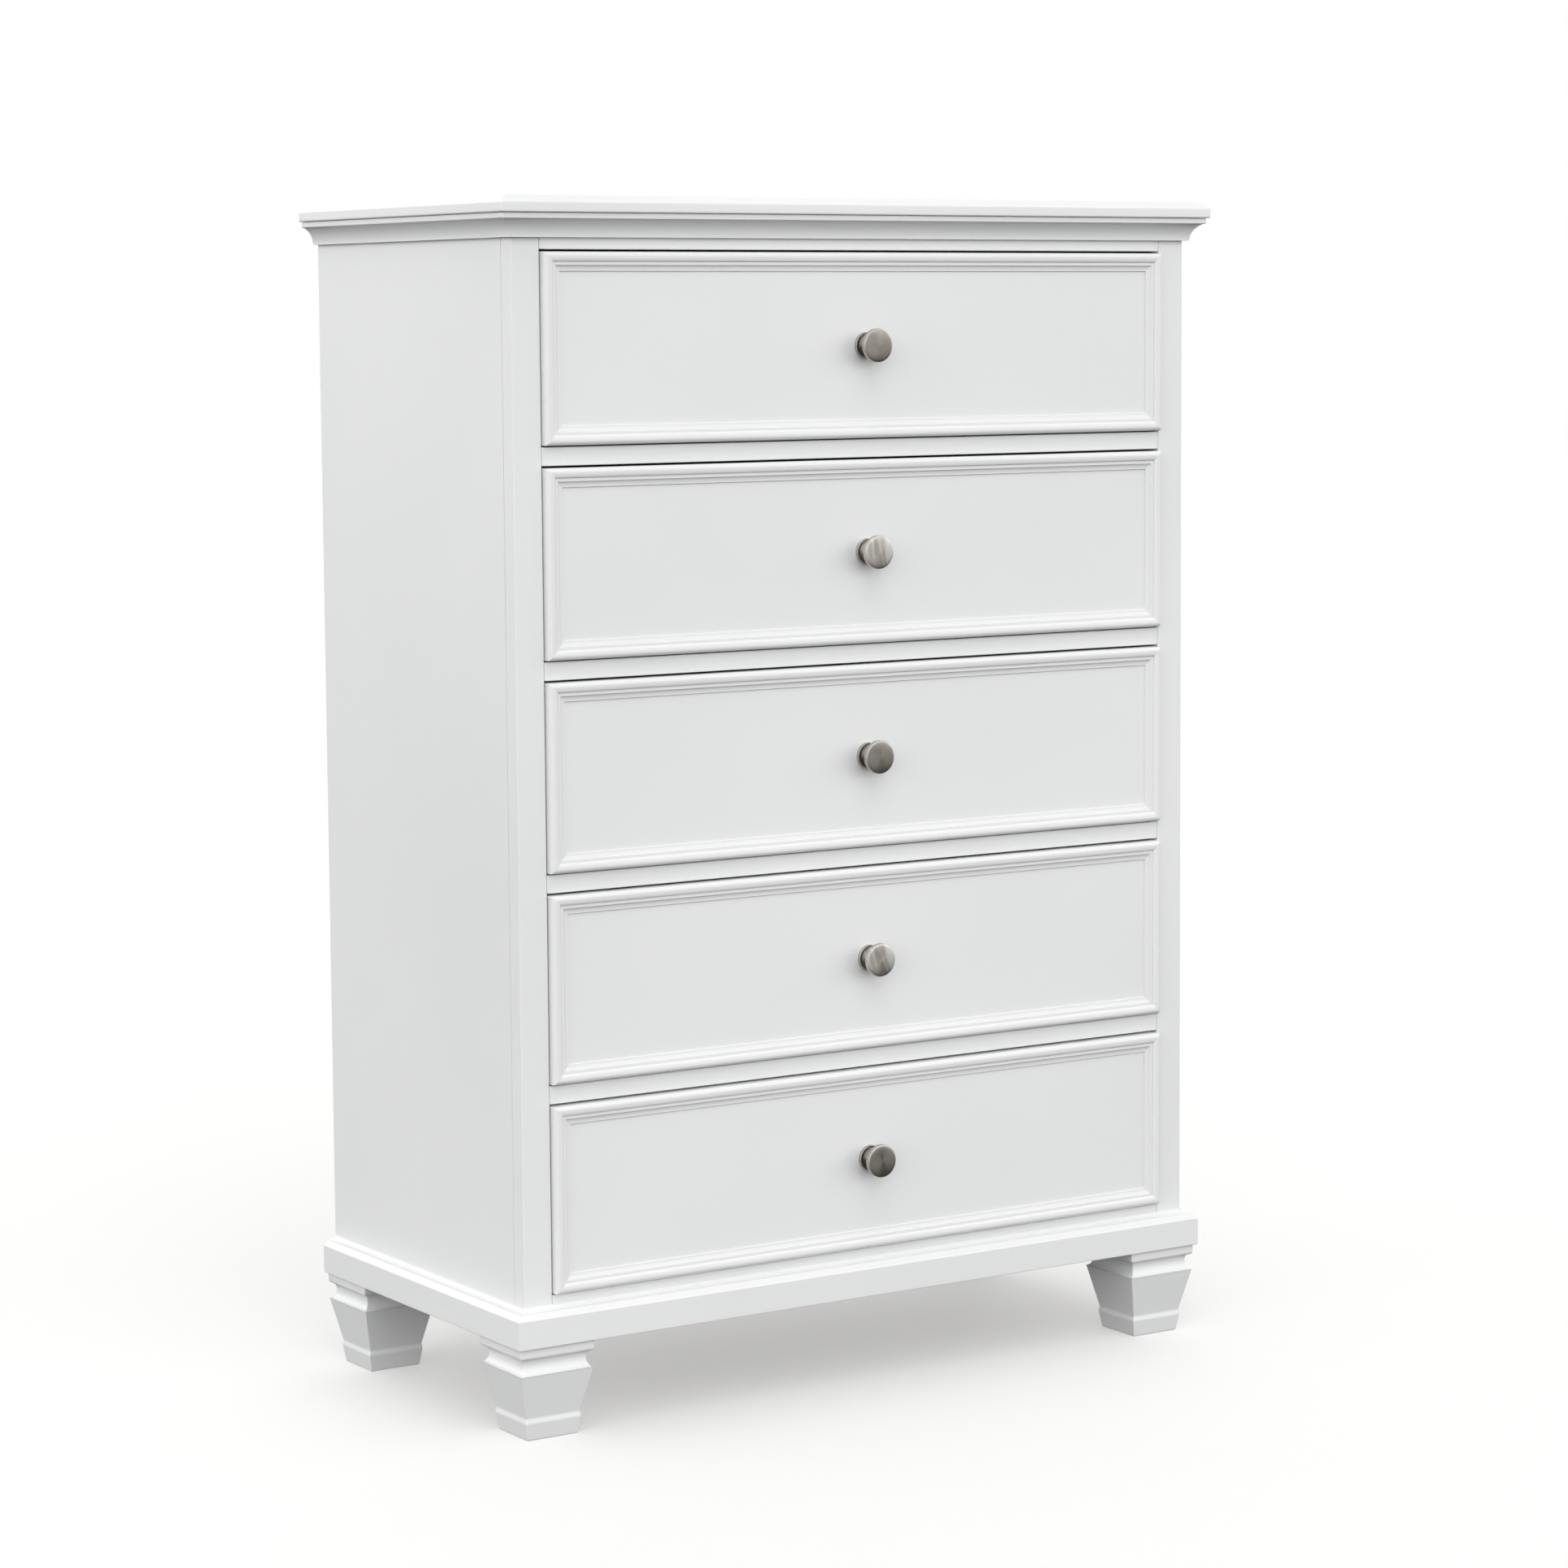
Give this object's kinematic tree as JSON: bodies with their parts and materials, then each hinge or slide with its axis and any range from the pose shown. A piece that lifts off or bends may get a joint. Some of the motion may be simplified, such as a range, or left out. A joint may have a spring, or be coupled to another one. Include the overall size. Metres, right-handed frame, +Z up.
{
  "type": "tall chest of drawers",
  "caption": "Tall white chest with inset moulded drawer fronts on round nickel knobs, a cove crown under a thin top, and tapered square feet.",
  "frame": {"origin": "on the floor, under the centre of the whole chest's box, knobs included", "axes": "+Z up; the drawers face -Y and slide out along -Y; +X is to the right of someone who faces the drawers"},
  "size_m": [0.9264, 0.4688, 1.315],
  "materials": {
    "white_paint": "satin white lacquer over solid wood and fibreboard",
    "pale_birch": "clear-coated pale hardwood drawer box",
    "waxed_hardwood": "waxed bare hardwood guide",
    "painted_board": "thin fibreboard with a thin pale paint coat",
    "brushed_nickel": "turned metal with a satin nickel finish"
  },
  "bodies": {
    "case": {"top_panel": "white_paint", "crown_front": "white_paint", "crown_left": "white_paint", "crown_right": "white_paint", "side_panel_left": "white_paint", "side_panel_right": "white_paint", "front_post_left": "white_paint", "front_post_right": "white_paint", "top_rail": "white_paint", "divider_rail_1": "white_paint", "divider_rail_2": "white_paint", "divider_rail_3": "white_paint", "divider_rail_4": "white_paint", "bottom_rail": "white_paint", "back_panel": "painted_board", "bottom_panel": "painted_board", "plinth_front": "white_paint", "plinth_left": "white_paint", "plinth_right": "white_paint", "plinth_back": "white_paint", "foot_front_left": "white_paint", "foot_front_right": "white_paint", "foot_back_left": "white_paint", "foot_back_right": "white_paint", "centre_guide_1": "waxed_hardwood", "centre_guide_2": "waxed_hardwood", "centre_guide_3": "waxed_hardwood", "centre_guide_4": "waxed_hardwood", "centre_guide_5": "waxed_hardwood"},
    "drawer_1": {"drawer_1_front": "white_paint", "drawer_1_side_left": "pale_birch", "drawer_1_side_right": "pale_birch", "drawer_1_back": "pale_birch", "drawer_1_bottom": "pale_birch", "drawer_1_knob": "brushed_nickel"},
    "drawer_2": {"drawer_2_front": "white_paint", "drawer_2_side_left": "pale_birch", "drawer_2_side_right": "pale_birch", "drawer_2_back": "pale_birch", "drawer_2_bottom": "pale_birch", "drawer_2_knob": "brushed_nickel"},
    "drawer_3": {"drawer_3_front": "white_paint", "drawer_3_side_left": "pale_birch", "drawer_3_side_right": "pale_birch", "drawer_3_back": "pale_birch", "drawer_3_bottom": "pale_birch", "drawer_3_knob": "brushed_nickel"},
    "drawer_4": {"drawer_4_front": "white_paint", "drawer_4_side_left": "pale_birch", "drawer_4_side_right": "pale_birch", "drawer_4_back": "pale_birch", "drawer_4_bottom": "pale_birch", "drawer_4_knob": "brushed_nickel"},
    "drawer_5": {"drawer_5_front": "white_paint", "drawer_5_side_left": "pale_birch", "drawer_5_side_right": "pale_birch", "drawer_5_back": "pale_birch", "drawer_5_bottom": "pale_birch", "drawer_5_knob": "brushed_nickel"}
  },
  "joints": [
    {"name": "drawer_1_slide", "type": "slide", "parent": "case", "child": "drawer_1", "axis": [0, -1, 0], "range_m": [0, 0.3]},
    {"name": "drawer_2_slide", "type": "slide", "parent": "case", "child": "drawer_2", "axis": [0, -1, 0], "range_m": [0, 0.3]},
    {"name": "drawer_3_slide", "type": "slide", "parent": "case", "child": "drawer_3", "axis": [0, -1, 0], "range_m": [0, 0.3]},
    {"name": "drawer_4_slide", "type": "slide", "parent": "case", "child": "drawer_4", "axis": [0, -1, 0], "range_m": [0, 0.3]},
    {"name": "drawer_5_slide", "type": "slide", "parent": "case", "child": "drawer_5", "axis": [0, -1, 0], "range_m": [0, 0.3]}
  ]
}
